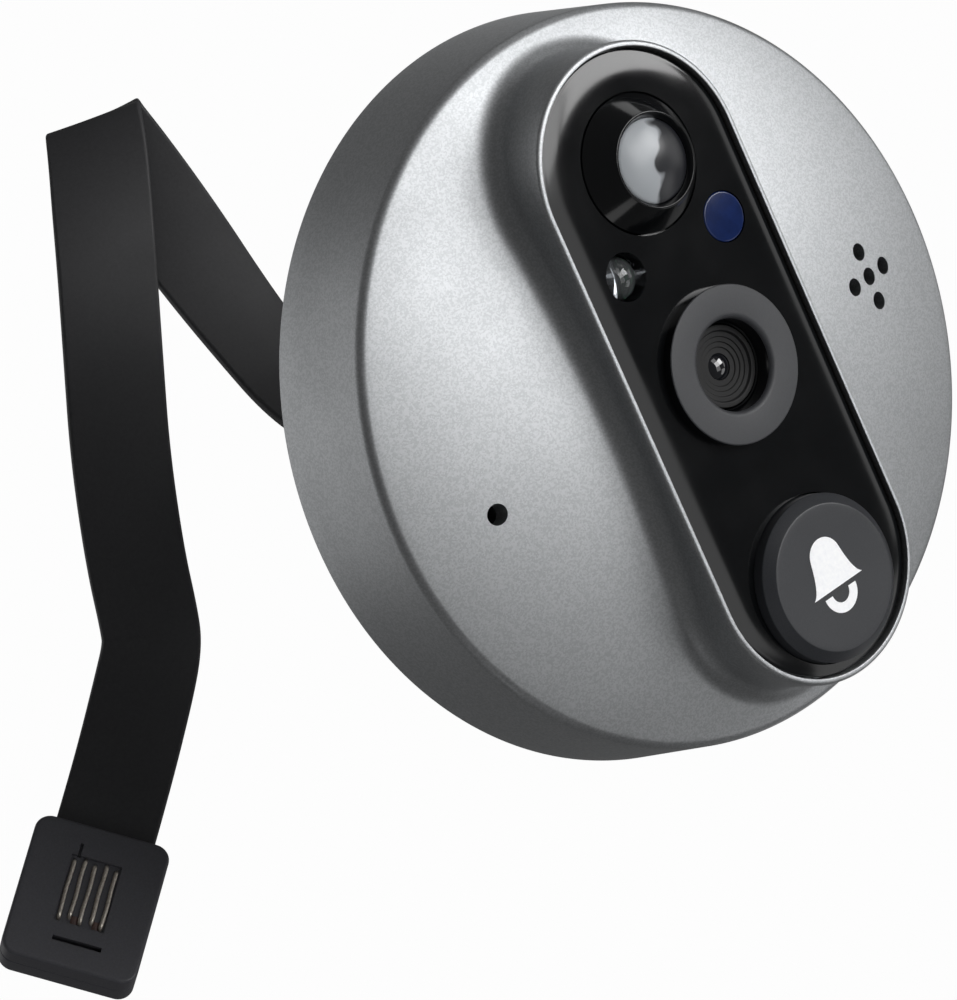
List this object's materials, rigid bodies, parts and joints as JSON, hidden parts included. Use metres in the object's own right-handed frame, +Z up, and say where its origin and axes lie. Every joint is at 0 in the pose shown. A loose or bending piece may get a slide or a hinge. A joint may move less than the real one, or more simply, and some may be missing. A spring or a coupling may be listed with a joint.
{
  "type": "video doorbell",
  "caption": "Round silver video doorbell with an obround black panel holding motion sensor, camera and bell button; a flat cable with a plug leaves its back.",
  "frame": {"origin": "centre of the unit's back, on the door's face, midway between the two bracket screws", "axes": "+Y into the door, so the front looks along -Y; +Z up the door; +X right as seen from the front"},
  "size_m": [0.0833, 0.0809, 0.071],
  "materials": {
    "silver_casing": "bead-blasted, satin silver",
    "black_casing": "fine-grained moulding",
    "seal_rubber": "dull",
    "foam_tape": "soft foam",
    "brass": "machined",
    "screw_steel": "zinc-plated",
    "panel_gloss_black": "high gloss",
    "sensor_lens_grey": "translucent grey, glossy",
    "sheet_steel": "stamped sheet",
    "dark_filter": "polished",
    "lamp_resin": "clear resin",
    "reflector": "bright",
    "blue_filter": "polished dark blue",
    "chip_black": "moulded epoxy",
    "ring_grey": "satin",
    "barrel_black": "black anodised",
    "lens_glass": "coated, polished",
    "circuit_board": "solder mask",
    "connector_ivory": "plain moulding",
    "button_dark": "satin",
    "symbol_white": "plain",
    "coil_ferrite": "sintered",
    "capacitor_tan": "ceramic",
    "speaker_film": "thin film",
    "cable_black": "satin sleeve",
    "plug_black": "fine-grained moulding",
    "contact_tin": "tin-plated"
  },
  "bodies": {
    "housing": {"front_cover": "silver_casing", "rear_cover": "black_casing", "inner_frame": "black_casing", "speaker_frame": "black_casing", "lens_holder": "black_casing", "rear_seal": "seal_rubber", "microphone_boot": "seal_rubber", "cable_grommet": "seal_rubber", "adhesive_pad": "foam_tape", "panel_gasket": "foam_tape", "speaker_foam": "foam_tape", "threaded_inserts": "brass", "board_spacers": "brass", "cover_screws": "screw_steel", "main_board_screws": "screw_steel", "front_board_screws": "screw_steel", "front_panel": "panel_gloss_black", "motion_sensor_collar": "panel_gloss_black", "motion_sensor_lens": "sensor_lens_grey", "motion_sensor": "sheet_steel", "microphone": "sheet_steel", "speaker_magnet": "sheet_steel", "switch_cover": "sheet_steel", "switch_dome": "sheet_steel", "motion_sensor_filter": "dark_filter", "infrared_lamp": "lamp_resin", "lamp_reflector": "reflector", "light_sensor_filter": "blue_filter", "light_sensor": "chip_black", "image_processor": "chip_black", "memory_chip": "chip_black", "image_sensor": "chip_black", "board_link": "chip_black", "switch_body": "chip_black", "camera_ring": "ring_grey", "lens_barrel": "barrel_black", "front_lens": "lens_glass", "rear_lens": "lens_glass", "camera_board": "circuit_board", "main_board": "circuit_board", "front_board": "circuit_board", "plug_board": "circuit_board", "camera_connector": "connector_ivory", "cable_connector": "connector_ivory", "power_coil": "coil_ferrite", "capacitors": "capacitor_tan", "speaker_cone": "speaker_film", "flat_cable": "cable_black", "plug_front_shell": "plug_black", "plug_back_shell": "plug_black", "plug_contacts": "contact_tin"},
    "button": {"bell_button": "button_dark", "bell_symbol": "symbol_white"},
    "plunger": {"switch_plunger": "button_dark"}
  },
  "joints": [
    {"name": "button_press", "type": "slide", "parent": "housing", "child": "button", "axis": [0, 1, 0], "range_m": [0, 0.00035], "stiffness_N_per_m": 3000, "springref_m": -0.0001},
    {"name": "plunger_travel", "type": "slide", "parent": "housing", "child": "plunger", "axis": [0, 1, 0], "range_m": [0, 0.00035]}
  ],
  "couplings": [
    {"joint": "plunger_travel", "follows": "button_press", "ratio": 1}
  ]
}
